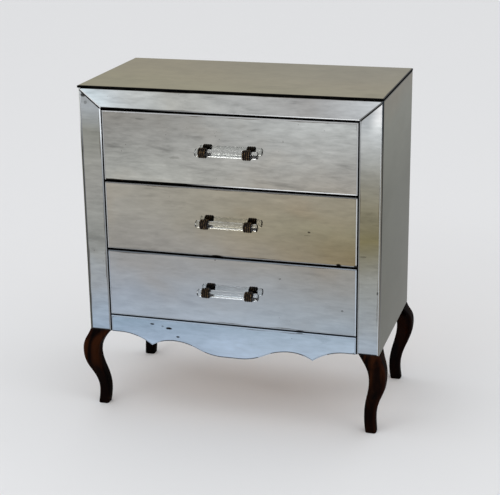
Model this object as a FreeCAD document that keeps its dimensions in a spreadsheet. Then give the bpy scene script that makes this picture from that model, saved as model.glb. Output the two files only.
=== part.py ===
import FreeCAD, Part
import math
import os
import re
import Sketcher

# A mirrored chest of three drawers on cabriole legs, in millimetres.
# Case coordinates: X to the right from the middle, Z up from the floor, and Y back from the
# face of the front glass. Every object's Placement then carries it to frontY, so that the
# origin lies on the floor under the middle of the whole chest.

doc = FreeCAD.newDocument("mirrored_chest")

# ---------------------------------------------------------------- driving sizes

sizes = {
    # case
    "caseWidth": 768,          # over the side mirrors
    "caseDepth": 396,          # front glass face to the back of the case
    "totalHeight": 861,
    "legHeight": 216,          # floor to the underside of the stiles
    "topGlass": 6,
    "topOverhang": 4,          # past the front glass
    "topRearOverhang": 2,
    "glass": 4,
    "glassArris": 1.5,         # polished bevel round each mirror
    "frameWidth": 56.5,        # stile mirror and side mirror together
    "mitreDrop": 5,            # the mitres meet the case's edges this far below its top
    "board": 18,
    "backPanel": 6,
    "backRebate": 6,
    "bottomBoard": 9,
    # drawer openings
    "apronRise": 42,           # underside of the stiles to the top of the apron
    "apronGap": 4.5,
    "topRail": 49.5,           # height of the top rail's mirror
    "middleShare": 0.3324,     # of the height that the three drawer fronts have together
    "lowerShare": 0.3314,
    "drawerGap": 6,
    "sideGap": 4,
    "railDepth": 50,
    "railLip": 6,              # a drawer rail's top above the bottom of the front before it
    "stopGap": 0.3,
    "runnerInset": 70,         # how far a runner stands in from the side board
    "guideHeight": 20,
    "kickerHeight": 16,
    # serpentine apron: how far each point lies from the middle, as a share of half the
    # opening, and how far it drops below the stiles
    "flatShare": 0.916,
    "flatDrop": 2.5,
    "cuspShare": 0.6535,
    "cuspDrop": 31,
    "humpShare": 0.4733,
    "humpDrop": 14.5,
    "middleDropShare": 0.0672,
    "middleDrop": 46,
    # drawer boxes
    "boxInset": 11.5,          # box side in from the end of its front
    "boxShort": 14,            # box lower than the lowest front
    "boxDepth": 352,           # back of the front board to the end of the sides
    "boxSide": 12,
    "boxBottom": 5,
    "bottomRaise": 10,
    "grooveDepth": 6,
    "housing": 8,              # how deep the sides sit in the front board
    "runGap": 0.3,             # clearance under and beside a drawer box
    "kickGap": 2,
    # handles
    "rodDiameter": 19,
    "rodLength": 160,
    "rodRound": 4,
    "rodFit": 0.1,
    "upperRodX": 4,            # the rods are loose enough to have slid a little
    "middleRodX": 1,
    "lowerRodX": 1,
    "collarDiameter": 26,
    "collarWidth": 20,
    "collarSpacing": 112,
    "beadPitch": 5,
    "beadGap": 1.4,
    "beadDepth": 1,
    "standOff": 20,            # rod axis in front of the glass
    "postDiameter": 9,
    "footDiameter": 15,
    "footThickness": 2.5,
    "studDiameter": 6,
    "studFit": 0.2,
    "studBeyondNut": 2,
    "washerDiameter": 14,
    "washerThickness": 1.2,
    "nutAcross": 10,
    "nutThickness": 5,
    # legs: how far up each section is as a share of the leg's height, how far its middle is in
    # from the case corner both ways, and its width
    "legTop": 54,
    "legTopRound": 3,
    "legRound": 7,
    "shoulderAt": 0.944,
    "shoulderInset": 20,
    "shoulderSize": 51,
    "haunchAt": 0.87,
    "haunchInset": 10,
    "haunchSize": 46.5,
    "kneeAt": 0.741,
    "kneeInset": 3,
    "kneeSize": 42,
    "calfAt": 0.546,
    "calfInset": 8.25,
    "calfSize": 39,
    "shinAt": 0.389,
    "shinInset": 19,
    "shinSize": 33.5,
    "ankleAt": 0.222,
    "ankleInset": 25.3,
    "ankleSize": 29.5,
    "footAt": 0.042,
    "footInset": 23,
    "footSize": 28.5,
    "soleInset": 21.8,
    "soleSize": 28,
    # leg fixings
    "blockThickness": 16,
    "blockSize": 70,
    "boltInset": 31,           # leg bolt in from both faces of the case corner
    "boltDiameter": 8,
    "boltFit": 0.2,
    "boltInLeg": 20,
    "legNutAcross": 13,
    "legNutThickness": 6.5,
    "legWasherDiameter": 16,
    "legWasherThickness": 1.6,
}

# Places worked out from the sizes, as expressions on their names.
places = {
    "half": "caseWidth / 2",
    "frontY": "(standOff + collarDiameter / 2 - caseDepth - kneeSize / 2 + kneeInset) / 2",
    "caseTop": "totalHeight - topGlass",
    "openingHalf": "half - frameWidth",
    "cladHalf": "half - glass",
    "sideInner": "cladHalf - board",
    "boardTop": "caseTop - board",
    "frameBack": "glass + board",
    "apronTop": "legHeight + apronRise",
    "drawerSpace": "caseTop - topRail - apronTop - apronGap - 3 * drawerGap",
    "lowerHeight": "drawerSpace * lowerShare",
    "middleHeight": "drawerSpace * middleShare",
    "upperHeight": "drawerSpace - lowerHeight - middleHeight",
    "boxHeight": "lowerHeight - boxShort",
    "lowerZ": "apronTop + apronGap",
    "middleZ": "lowerZ + lowerHeight + drawerGap",
    "upperZ": "middleZ + middleHeight + drawerGap",
    "railBottom": "upperZ + upperHeight + drawerGap",
    "panelFront": "caseDepth - backPanel",
    "lowestRailZ": "lowerZ + railLip - board",
    "frontHalf": "openingHalf - sideGap",
    "frontBoardBack": "frameBack - stopGap",
    "boxHalf": "frontHalf - boxInset",
    "boxInner": "boxHalf - boxSide",
    "boxZ": "railLip + runGap",
    "boxBack": "frontBoardBack + boxDepth",
    "grooveZ": "boxZ + bottomRaise",
    "kickerZ": "upperZ + boxZ + boxHeight + kickGap",
    "collarX": "collarSpacing / 2",
    "collarRadius": "collarDiameter / 2",
    "mitreTop": "caseTop - mitreDrop",
}


def full(text):
    """Write out an expression on the sizes and places so that the sheet can work it out."""
    def one(match):
        word = match.group(0)
        if word in places:
            return "(" + full(places[word]) + ")"
        return "sizes." + word
    return re.sub(r"[A-Za-z]\w*", one, text)


def number(text):
    return float(sheet.evalExpression(full(text)))


def bind(thing, prop, text):
    thing.setExpression(prop, full(text))


def makeSheet():
    table = doc.addObject("Spreadsheet::Sheet", "sizes")
    for row, (name, size) in enumerate(sizes.items(), start=1):
        table.set(f"A{row}", name)
        table.set(f"B{row}", str(size))
        table.setAlias(f"B{row}", name)
    doc.recompute()
    return table


sheet = makeSheet()
nodes = []


def keep(thing, label):
    """Name a finished sub-part. Its label is also its file's name."""
    thing.Label = label
    nodes.append(thing)
    return thing


def place(thing, x="0", y="frontY", z="0"):
    bind(thing, "Placement.Base.x", x)
    bind(thing, "Placement.Base.y", y)
    bind(thing, "Placement.Base.z", z)


# ---------------------------------------------------------------- building helpers

def newBody(name, x="0", y="frontY", z="0"):
    body = doc.addObject("PartDesign::Body", name)
    place(body, x, y, z)
    return body


def newSketch(body, plane, offset):
    """A sketch on one of the body's own planes, moved along that plane's normal."""
    sketch = body.newObject("Sketcher::SketchObject", body.Name + "_sketch")
    for feature in body.Origin.OriginFeatures:
        if feature.Role == plane + "_Plane":
            sketch.AttachmentSupport = [(feature, "")]
    sketch.MapMode = "FlatFace"
    sign = "-" if plane == "XZ" else ""     # that plane faces the front
    bind(sketch, "AttachmentOffset.Base.z", f"{sign}({offset})")
    return sketch


def pinPoint(sketch, piece, end, x, y):
    """Tie one end of a sketch line to expressions for its place."""
    for kind, text in (("DistanceX", x), ("DistanceY", y)):
        rule = Sketcher.Constraint(kind, -1, 1, piece, end, number(text))
        index = sketch.addConstraint(rule)
        bind(sketch, f"Constraints[{index}]", text)


def levelArc(start, end, levelStart):
    """The arc between two points that runs level at one of them, with its middle above or
    below that point. A sketch keeps arcs counter-clockwise, so the ends may change places."""
    flat, far = (start, end) if levelStart else (end, start)
    run = far.x - flat.x
    rise = far.y - flat.y
    reach = (run * run + rise * rise) / (2 * rise)
    middle = FreeCAD.Vector(flat.x, flat.y + reach, 0)
    fromX = FreeCAD.Vector(1, 0, 0)
    angles = []
    for point in (start, end):
        arm = point - middle
        turn = fromX.getAngle(arm)
        angles.append(turn if arm.y >= 0 else -turn)
    forward = (angles[1] - angles[0]) % (2 * math.pi) < math.pi
    circle = Part.Circle(middle, FreeCAD.Vector(0, 0, 1), abs(reach))
    low, high = angles if forward else reversed(angles)
    return Part.ArcOfCircle(circle, low, high), (1, 2) if forward else (2, 1)


def addOutline(sketch, corners, levels=None):
    """A closed outline through corners given as pairs of expressions. Each stretch to the
    next corner is a line, or an arc that is level at its "start" or its "end"."""
    first = sketch.GeometryCount
    count = len(corners)
    levels = levels or [None] * count
    points = [FreeCAD.Vector(number(x), number(y), 0) for x, y in corners]
    ends = []
    for i, level in enumerate(levels):
        start, end = points[i], points[(i + 1) % count]
        if level is None:
            piece, order = Part.LineSegment(start, end), (1, 2)
        else:
            piece, order = levelArc(start, end, level == "start")
        sketch.addGeometry(piece, False)
        ends.append(order)
    for i, level in enumerate(levels):
        j = (i + 1) % count
        join = Sketcher.Constraint("Coincident", first + i, ends[i][1], first + j, ends[j][0])
        sketch.addConstraint(join)
        pinPoint(sketch, first + i, ends[i][0], *corners[i])
        if level is not None:
            end = ends[i][0] if level == "start" else ends[i][1]
            sketch.addConstraint(Sketcher.Constraint("Vertical", first + i, 3, first + i, end))


def addRectangle(sketch, x0, x1, y0, y1):
    addOutline(sketch, [(x0, y0), (x1, y0), (x1, y1), (x0, y1)])


def addCircle(sketch, x, y, diameter):
    middle = FreeCAD.Vector(number(x), number(y), 0)
    circle = Part.Circle(middle, FreeCAD.Vector(0, 0, 1), number(diameter) / 2)
    index = sketch.addGeometry(circle, False)
    pinPoint(sketch, index, 3, x, y)
    rule = sketch.addConstraint(Sketcher.Constraint("Diameter", index, number(diameter)))
    bind(sketch, f"Constraints[{rule}]", diameter)


def pad(body, sketch, length, backwards=False):
    feature = body.newObject("PartDesign::Pad", body.Name + "_pad")
    feature.Profile = sketch
    feature.Reversed = backwards
    bind(feature, "Length", length)
    sketch.Visibility = False
    doc.recompute()
    return feature


def pocket(body, sketch, length, backwards=False):
    """Cut a sketch into the body, and make sure that it did cut."""
    before = body.Shape.Volume
    feature = body.newObject("PartDesign::Pocket", body.Name + "_pocket")
    feature.Profile = sketch
    feature.Reversed = backwards
    bind(feature, "Length", length)
    doc.recompute()
    if body.Shape.Volume > before - 1e-3:
        raise ValueError(f"{feature.Name} cuts nothing")
    return feature


def edgesOnFace(feature, axis, text, clear=None):
    """Names of the edges whose ends both lie at one place along X (0), Y (1) or Z (2)."""
    level = number(text)
    found = []
    for i, edge in enumerate(feature.Shape.Edges, start=1):
        ends = [vertex.Point[axis] for vertex in edge.Vertexes]
        if all(abs(end - level) < 1e-4 for end in ends):
            if clear is None or not clear(edge):
                found.append(f"Edge{i}")
    return found


def chamfer(body, feature, edges, size):
    cut = body.newObject("PartDesign::Chamfer", body.Name + "_arris")
    cut.Base = (feature, edges)
    bind(cut, "Size", size)
    doc.recompute()
    return cut


def frontPad(name, outline, y0, y1, **where):
    """A board or pane with an outline seen from the front, from depth y0 to depth y1."""
    body = newBody(name, **where)
    sketch = newSketch(body, "XZ", y0)
    outline(sketch)
    feature = pad(body, sketch, f"({y1}) - ({y0})", backwards=True)
    return body, feature


def box(label, x, y, z, baseY="frontY"):
    """A plain board between pairs of expressions along X, Y and Z."""
    board = doc.addObject("Part::Box", label)
    for prop, (low, high) in zip(("Length", "Width", "Height"), (x, y, z)):
        bind(board, prop, f"({high}) - ({low})")
    place(board, x[0], f"{baseY} + ({y[0]})", z[0])
    doc.recompute()
    return board


def mirrored(source, label):
    """The other hand of a piece, across the middle of the chest."""
    twin = doc.addObject("Part::Mirroring", label)
    twin.Source = source
    twin.Normal = FreeCAD.Vector(1, 0, 0)
    doc.recompute()
    return keep(twin, label)


def group(label, things):
    """Like fastenings or a matched pair, kept as separate solids of one node."""
    several = doc.addObject("Part::Compound", label)
    several.Links = things
    doc.recompute()
    return keep(several, label)


def bothSides(label, right):
    twin = doc.addObject("Part::Mirroring", label + "_other")
    twin.Source = right
    twin.Normal = FreeCAD.Vector(1, 0, 0)
    return group(label, [right, twin])


def hexagon(sketch, x, y, across):
    """A nut's outline: six corners about x, y, with two flats facing along Y."""
    corner = f"({across}) / 3 ^ 0.5"
    half = f"({across}) / 2"
    addOutline(sketch, [
        (f"({x}) + {corner}", y), (f"({x}) + {corner} / 2", f"({y}) + {half}"),
        (f"({x}) - {corner} / 2", f"({y}) + {half}"), (f"({x}) - {corner}", y),
        (f"({x}) - {corner} / 2", f"({y}) - {half}"), (f"({x}) + {corner} / 2", f"({y}) - {half}"),
    ])


# ---------------------------------------------------------------- wooden case

def sideBoards():
    """Side boards, rebated along the back inner edge for the back panel."""
    def outline(sketch):
        addOutline(sketch, [
            ("sideInner", "glass"), ("cladHalf", "glass"), ("cladHalf", "caseDepth"),
            ("sideInner + backRebate", "caseDepth"), ("sideInner + backRebate", "panelFront"),
            ("sideInner", "panelFront"),
        ])
    body = newBody("right_side_board")
    sketch = newSketch(body, "XY", "legHeight")
    outline(sketch)
    pad(body, sketch, "boardTop - legHeight")
    keep(body, "right_side_board")
    mirrored(body, "left_side_board")


def caseBoards():
    keep(box("top_board", ("-cladHalf", "cladHalf"), ("glass", "caseDepth"), ("boardTop", "caseTop")),
         "top_board")
    keep(box("bottom_board", ("-sideInner", "sideInner"), ("frameBack", "panelFront"),
             ("lowestRailZ - bottomBoard", "lowestRailZ")), "bottom_board")
    keep(box("back_panel", ("-sideInner - backRebate", "sideInner + backRebate"),
             ("panelFront", "caseDepth"), ("legHeight", "boardTop")), "back_panel")
    stile = box("right_stile", ("openingHalf", "sideInner"), ("glass", "frameBack"),
                ("legHeight", "boardTop"))
    keep(stile, "right_stile")
    mirrored(stile, "left_stile")
    keep(box("top_rail", ("-openingHalf", "openingHalf"), ("glass", "frameBack"),
             ("railBottom", "boardTop")), "top_rail")


def drawerRails():
    for label, level in (("upper_drawer_rail", "upperZ"), ("lower_drawer_rail", "middleZ"),
                         ("bottom_rail", "lowerZ")):
        top = f"{level} + railLip"
        keep(box(label, ("-sideInner", "sideInner"), ("frameBack", "frameBack + railDepth"),
                 (f"{top} - board", top)), label)


def runners():
    """L-shaped runners: the drawer side slides on the shelf, beside the guide."""
    for label, level in (("upper_runners", "upperZ"), ("middle_runners", "middleZ"),
                         ("lower_runners", "lowerZ")):
        def outline(sketch):
            top = f"{level} + railLip"
            shelf = "sideInner - runnerInset"
            guide = "boxHalf + runGap"
            addOutline(sketch, [
                (shelf, f"{top} - board"), ("sideInner", f"{top} - board"),
                ("sideInner", f"{top} + guideHeight"), (guide, f"{top} + guideHeight"),
                (guide, top), (shelf, top),
            ])
        right, _ = frontPad(label + "_right", outline, "frameBack + railDepth", "panelFront")
        bothSides(label, right)
    kicker = box("kickers_right", ("sideInner - runnerInset", "sideInner"), ("frameBack", "panelFront"),
                 ("kickerZ", "kickerZ + kickerHeight"))
    bothSides("kickers", kicker)


def apronOutline(sketch, side):
    """Flat ends, a concave sweep down to a pointed cusp, a hump, and a dropped middle."""
    right = [
        (side, "apronTop"), (side, "legHeight - flatDrop"),
        ("openingHalf * flatShare", "legHeight - flatDrop"),
        ("openingHalf * cuspShare", "legHeight - cuspDrop"),
        ("openingHalf * humpShare", "legHeight - humpDrop"),
        ("openingHalf * (humpShare + middleDropShare) / 2",
         "legHeight - (humpDrop + middleDrop) / 2"),
        ("openingHalf * middleDropShare", "legHeight - middleDrop"),
    ]
    left = [(f"-({x})", z) for x, z in reversed(right)]
    levels = [None, None, "start", "end", "start", "end", None,
              "start", "end", "start", "end", None, None, None]
    addOutline(sketch, right + left, levels)


def apronBoard():
    def outline(sketch):
        apronOutline(sketch, "openingHalf")
    body, _ = frontPad("apron_board", outline, "glass", "frameBack")
    keep(body, "apron_board")


# ---------------------------------------------------------------- mirrors

def pane(label, outline, y0="0", y1="glass", **where):
    """A sheet of mirror glass seen from the front, with a polished arris round its face."""
    body, feature = frontPad(label, outline, y0, y1, **where)
    chamfer(body, feature, edgesOnFace(feature, 1, y0), "glassArris")
    return keep(body, label)


def frameMirrors():
    """Rail and stile mirrors meet in mitres that run from the outer to the inner corners."""
    def railOutline(sketch):
        addOutline(sketch, [
            ("-cladHalf", "caseTop"), ("-cladHalf", "mitreTop"), ("-openingHalf", "railBottom"),
            ("openingHalf", "railBottom"), ("cladHalf", "mitreTop"), ("cladHalf", "caseTop"),
        ])

    def stileOutline(sketch):
        addOutline(sketch, [
            ("openingHalf", "legHeight"), ("cladHalf", "legHeight"),
            ("cladHalf", "mitreTop"), ("openingHalf", "railBottom"),
        ])

    def apronGlass(sketch):
        apronOutline(sketch, "frontHalf")

    pane("top_rail_mirror", railOutline)
    mirrored(pane("right_stile_mirror", stileOutline), "left_stile_mirror")
    pane("apron_mirror", apronGlass)


def sideMirrors():
    body = newBody("right_side_mirror")
    sketch = newSketch(body, "YZ", "cladHalf")
    addRectangle(sketch, "0", "caseDepth", "legHeight", "caseTop")
    feature = pad(body, sketch, "glass")
    chamfer(body, feature, edgesOnFace(feature, 0, "half"), "glassArris")
    keep(body, "right_side_mirror")
    mirrored(body, "left_side_mirror")


def topMirror():
    body = newBody("top_mirror")
    sketch = newSketch(body, "XY", "caseTop")
    addRectangle(sketch, "-half", "half", "-topOverhang", "caseDepth + topRearOverhang")
    feature = pad(body, sketch, "topGlass")
    chamfer(body, feature, edgesOnFace(feature, 2, "totalHeight"), "glassArris")
    keep(body, "top_mirror")


# ---------------------------------------------------------------- legs

def legSection(body, level, inset, width, rounding):
    """A square with rounded corners, its middle in from the case corner both ways."""
    sketch = newSketch(body, "XY", level)
    low = f"-({inset}) - ({width}) / 2"
    high = f"-({inset}) + ({width}) / 2"
    inLow = f"{low} + {rounding}"
    inHigh = f"{high} - {rounding}"
    corners = [(inLow, low), (inHigh, low), (high, inLow), (high, inHigh),
               (inHigh, high), (inLow, high), (low, inHigh), (low, inLow)]
    levels = [None, "start", None, "end", None, "start", None, "end"]
    addOutline(sketch, corners, levels)
    return sketch


def oneLeg(label, x, y, turn):
    """A cabriole leg: rounded squares carried down an S in the diagonal of the corner. It is
    drawn for the rear right corner of the case, with that corner at the body's origin."""
    body = newBody(label, x=x, y=y)
    body.Placement.Rotation = FreeCAD.Rotation(FreeCAD.Vector(0, 0, 1), turn)
    place(body, x, y)
    sections = [legSection(body, "legHeight", "legTop / 2", "legTop", "legTopRound")]
    for name in ("shoulder", "haunch", "knee", "calf", "shin", "ankle", "foot"):
        level = f"legHeight * {name}At"
        sections.append(legSection(body, level, name + "Inset", name + "Size", "legRound"))
    sections.append(legSection(body, "0", "soleInset", "soleSize", "legRound"))
    loft = body.newObject("PartDesign::AdditiveLoft", label + "_loft")
    loft.Profile = sections[0]
    loft.Sections = sections[1:]
    loft.Ruled = False
    doc.recompute()
    hole = newSketch(body, "XY", "legHeight")
    addCircle(hole, "-boltInset", "-boltInset", "boltDiameter + boltFit")
    pocket(body, hole, "boltInLeg")
    keep(body, label)


def legs():
    rear = "frontY + caseDepth"
    oneLeg("rear_right_leg", "half", rear, 0)
    oneLeg("rear_left_leg", "-half", rear, 90)
    oneLeg("front_left_leg", "-half", "frontY", 180)
    oneLeg("front_right_leg", "half", "frontY", 270)


def corners(single):
    """Four copies of a piece drawn for the front right corner, one in each corner."""
    across = doc.addObject("Part::Mirroring", single.Name + "_left")
    across.Source = single
    across.Normal = FreeCAD.Vector(1, 0, 0)
    things = [single, across]
    for thing in (single, across):
        behind = doc.addObject("Part::Mirroring", thing.Name + "_rear")
        behind.Source = thing
        behind.Normal = FreeCAD.Vector(0, 1, 0)
        bind(behind, "Base.y", "frontY + caseDepth / 2")
        things.append(behind)
    return things


def legFixings():
    """Corner blocks under the bottom board, bolted down into the legs."""
    block = newBody("corner_block")
    sketch = newSketch(block, "XY", "legHeight")
    inner = "sideInner - blockSize"
    back = "frameBack + blockSize"
    addOutline(sketch, [
        (inner, "frameBack"), ("sideInner", "frameBack"), ("sideInner", back),
        ("sideInner - blockSize / 2", back), (inner, "frameBack + blockSize / 2"),
    ])
    pad(block, sketch, "blockThickness")
    hole = newSketch(block, "XY", "legHeight")
    addCircle(hole, "half - boltInset", "boltInset", "boltDiameter + boltFit")
    pocket(block, hole, "blockThickness", backwards=True)
    group("corner_blocks", corners(block))

    bolt = newBody("leg_bolt")
    shank = newSketch(bolt, "XY", "legHeight - boltInLeg")
    addCircle(shank, "half - boltInset", "boltInset", "boltDiameter")
    blockTop = "legHeight + blockThickness"
    pad(bolt, shank, "boltInLeg + blockThickness + legWasherThickness + legNutThickness")
    nut = newBody("leg_nut")
    washer = newSketch(nut, "XY", blockTop)
    addCircle(washer, "half - boltInset", "boltInset", "legWasherDiameter")
    addCircle(washer, "half - boltInset", "boltInset", "boltDiameter")
    pad(nut, washer, "legWasherThickness")
    flats = newSketch(nut, "XY", f"{blockTop} + legWasherThickness")
    hexagon(flats, "half - boltInset", "boltInset", "legNutAcross")
    addCircle(flats, "half - boltInset", "boltInset", "boltDiameter")
    pad(nut, flats, "legNutThickness")
    group("leg_bolts", corners(bolt) + corners(nut))


# ---------------------------------------------------------------- drawers

def drawerFront(name, level):
    """The front board, housed for the sides, grooved for the bottom and bored for the studs."""
    body, _ = frontPad(f"{name}_front_board", lambda sketch: addRectangle(
        sketch, "-frontHalf", "frontHalf", "0", f"{name}Height"), "glass", "frontBoardBack", z=level)
    cuts = newSketch(body, "XZ", "frontBoardBack")
    addRectangle(cuts, "boxInner", "boxHalf", "boxZ", "boxZ + boxHeight")
    addRectangle(cuts, "-boxHalf", "-boxInner", "boxZ", "boxZ + boxHeight")
    pocket(body, cuts, "housing", backwards=True)
    groove = newSketch(body, "XZ", "frontBoardBack")
    addRectangle(groove, "-boxInner", "boxInner", "grooveZ", "grooveZ + boxBottom")
    pocket(body, groove, "grooveDepth", backwards=True)
    holes = newSketch(body, "XZ", "frontBoardBack")
    for side in ("collarX", "-collarX"):
        addCircle(holes, side, f"{name}Height / 2", "studDiameter + studFit")
    pocket(body, holes, "frontBoardBack - glass", backwards=True)
    keep(body, f"{name}_front_board")


def drawerBox(name, level):
    side = newBody(f"{name}_right_side", z=level)
    sketch = newSketch(side, "YZ", "boxInner")
    addRectangle(sketch, "frontBoardBack - housing", "boxBack", "boxZ", "boxZ + boxHeight")
    pad(side, sketch, "boxSide")
    groove = newSketch(side, "YZ", "boxInner")
    addRectangle(groove, "frontBoardBack - housing", "boxBack", "grooveZ", "grooveZ + boxBottom")
    pocket(side, groove, "grooveDepth", backwards=True)
    keep(side, f"{name}_right_side")
    mirrored(side, f"{name}_left_side")
    grooved = "boxInner + grooveDepth"
    bottom = newBody(f"{name}_bottom", z=level)
    sheet = newSketch(bottom, "XY", "grooveZ")
    tongue = "frontBoardBack - grooveDepth"
    addOutline(sheet, [
        ("-boxInner", tongue), ("boxInner", tongue), ("boxInner", "frontBoardBack"),
        (grooved, "frontBoardBack"), (grooved, "boxBack"), (f"-({grooved})", "boxBack"),
        (f"-({grooved})", "frontBoardBack"), ("-boxInner", "frontBoardBack"),
    ])
    pad(bottom, sheet, "boxBottom")
    keep(bottom, f"{name}_bottom")
    keep(box(f"{name}_back", ("-boxInner", "boxInner"), ("boxBack - boxSide", "boxBack"),
             (f"{level} + grooveZ + boxBottom", f"{level} + boxZ + boxHeight")), f"{name}_back")


def drawerMirror(name, level):
    """The mirror on the front, with holes for the handle studs."""
    def outline(sketch):
        addRectangle(sketch, "-frontHalf", "frontHalf", "0", f"{name}Height")
        for side in ("collarX", "-collarX"):
            addCircle(sketch, side, f"{name}Height / 2", "studDiameter + studFit")
    body, feature = frontPad(f"{name}_mirror", outline, "0", "glass", z=level)

    def isHole(edge):
        return edge.Curve.TypeId == "Part::GeomCircle"
    chamfer(body, feature, edgesOnFace(feature, 1, "0", clear=isHole), "glassArris")
    keep(body, f"{name}_mirror")


def glassRod(name, middle):
    """A turned rod of clear glass with rounded ends, lying across the drawer."""
    body = newBody(f"{name}_glass_rod", x=f"{name}RodX", y="frontY - standOff", z=middle)
    sketch = newSketch(body, "XY", "0")
    end = "rodLength / 2"
    radius = "rodDiameter / 2"
    addOutline(sketch, [
        (f"-({end})", "0"), (end, "0"), (end, f"{radius} - rodRound"),
        (f"{end} - rodRound", radius), (f"rodRound - {end}", radius),
        (f"-({end})", f"{radius} - rodRound"),
    ], [None, None, "end", None, "start", None])
    turned(body, sketch)
    keep(body, f"{name}_glass_rod")


def turned(body, sketch):
    """Turn a half outline round the sketch's own X axis."""
    feature = body.newObject("PartDesign::Revolution", body.Name + "_turned")
    feature.Profile = sketch
    feature.ReferenceAxis = (sketch, ["H_Axis"])
    feature.Angle = 360
    doc.recompute()
    return feature


def bracket(name, hand, x, middle):
    """A ribbed collar round the rod, on a post and foot, with a stud through the drawer front."""
    body = newBody(f"{name}_{hand}_bracket", x=x, z=middle)
    collar = newSketch(body, "XY", "0")
    bind(collar, "AttachmentOffset.Base.y", "-standOff")
    bore = "rodDiameter / 2 + rodFit"
    halfWidth = "collarWidth / 2"
    valley = "collarRadius - beadDepth"
    outline = [(f"-({halfWidth})", bore), (halfWidth, bore), (halfWidth, "collarRadius")]
    for step in ("beadPitch", "0", "-beadPitch"):
        outline += [(f"{step} + beadGap / 2", "collarRadius"), (f"{step} + beadGap / 2", valley),
                    (f"{step} - beadGap / 2", valley), (f"{step} - beadGap / 2", "collarRadius")]
    outline.append((f"-({halfWidth})", "collarRadius"))
    addOutline(collar, outline)
    turned(body, collar)
    post = newSketch(body, "XZ", f"-(standOff - ({bore} + {valley}) / 2)")
    addCircle(post, "0", "0", "postDiameter")
    pad(body, post, f"standOff - ({bore} + {valley}) / 2", backwards=True)
    foot = newSketch(body, "XZ", "-footThickness")
    addCircle(foot, "0", "0", "footDiameter")
    pad(body, foot, "footThickness", backwards=True)
    stud = newSketch(body, "XZ", "0")
    addCircle(stud, "0", "0", "studDiameter")
    pad(body, stud, "frontBoardBack + washerThickness + nutThickness + studBeyondNut", backwards=True)
    keep(body, f"{name}_{hand}_bracket")


def handleNuts(name, middle):
    """A washer and a nut on each stud, inside the drawer."""
    nut = newBody(f"{name}_handle_nut", x="collarX", z=middle)
    washer = newSketch(nut, "XZ", "frontBoardBack")
    addCircle(washer, "0", "0", "washerDiameter")
    addCircle(washer, "0", "0", "studDiameter")
    pad(nut, washer, "washerThickness", backwards=True)
    flats = newSketch(nut, "XZ", "frontBoardBack + washerThickness")
    hexagon(flats, "0", "0", "nutAcross")
    addCircle(flats, "0", "0", "studDiameter")
    pad(nut, flats, "nutThickness", backwards=True)
    bothSides(f"{name}_handle_nuts", nut)


def drawers():
    for name in ("upper", "middle", "lower"):
        level = name + "Z"
        middle = f"{level} + {name}Height / 2"
        drawerFront(name, level)
        drawerBox(name, level)
        drawerMirror(name, level)
        glassRod(name, middle)
        bracket(name, "left", "-collarX", middle)
        bracket(name, "right", "collarX", middle)
        handleNuts(name, middle)


# ---------------------------------------------------------------- checking and writing

def checkModel():
    doc.recompute()
    for thing in doc.Objects:
        if "Invalid" in thing.State or "Error" in thing.State:
            raise ValueError(f"{thing.Name} failed: {thing.State}")
    for node in nodes:
        if node.Shape.isNull() or not node.Shape.isValid() or not node.Shape.Solids:
            raise ValueError(f"{node.Label} has no sound solid")


def writeParts():
    os.makedirs("parts", exist_ok=True)
    for node in nodes:
        node.Shape.exportStep(f"parts/{node.Label}.step")
        room = node.Shape.BoundBox
        print(f"{node.Label:26s} {len(node.Shape.Solids)} solid(s)  {room.XLength:7.1f} x"
              f" {room.YLength:6.1f} x {room.ZLength:6.1f} mm")
    print(len(nodes), "nodes")


sideBoards()
caseBoards()
drawerRails()
runners()
apronBoard()
frameMirrors()
sideMirrors()
topMirror()
legs()
legFixings()
drawers()
checkModel()
writeParts()
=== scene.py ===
import math
import bpy
import numpy as np
from mathutils import Matrix


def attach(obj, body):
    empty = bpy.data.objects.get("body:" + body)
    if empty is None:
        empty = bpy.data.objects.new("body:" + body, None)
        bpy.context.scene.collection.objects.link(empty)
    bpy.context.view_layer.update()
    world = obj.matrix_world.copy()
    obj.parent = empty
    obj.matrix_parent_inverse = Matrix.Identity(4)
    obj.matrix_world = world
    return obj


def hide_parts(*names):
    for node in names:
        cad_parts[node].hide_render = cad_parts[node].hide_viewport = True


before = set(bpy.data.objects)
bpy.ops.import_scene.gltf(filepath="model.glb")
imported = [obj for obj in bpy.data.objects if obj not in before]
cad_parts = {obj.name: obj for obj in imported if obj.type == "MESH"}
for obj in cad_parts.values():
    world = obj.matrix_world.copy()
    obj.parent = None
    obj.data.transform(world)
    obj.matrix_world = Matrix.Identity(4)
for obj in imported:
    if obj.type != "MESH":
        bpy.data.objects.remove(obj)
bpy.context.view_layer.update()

# A mirrored chest of three drawers on cabriole legs, in metres. The drawers come out along -Y.
print("frame loaded:", len(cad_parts), "nodes")


# ---- shader sums

class Value:
    # One output socket. Sums on it add Math nodes, so a mask reads as plain Python.
    def __init__(self, finish, socket):
        self.finish, self.socket = finish, socket

    def sum(self, operation, first, second):
        return self.finish.node("Math", {"operation": operation}, (first, second))

    def __add__(self, other): return self.sum("ADD", self, other)
    def __radd__(self, other): return self.sum("ADD", other, self)
    def __sub__(self, other): return self.sum("SUBTRACT", self, other)
    def __rsub__(self, other): return self.sum("SUBTRACT", other, self)
    def __mul__(self, other): return self.sum("MULTIPLY", self, other)
    def __rmul__(self, other): return self.sum("MULTIPLY", other, self)
    def __truediv__(self, other): return self.sum("DIVIDE", self, other)
    def __rtruediv__(self, other): return self.sum("DIVIDE", other, self)


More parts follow.
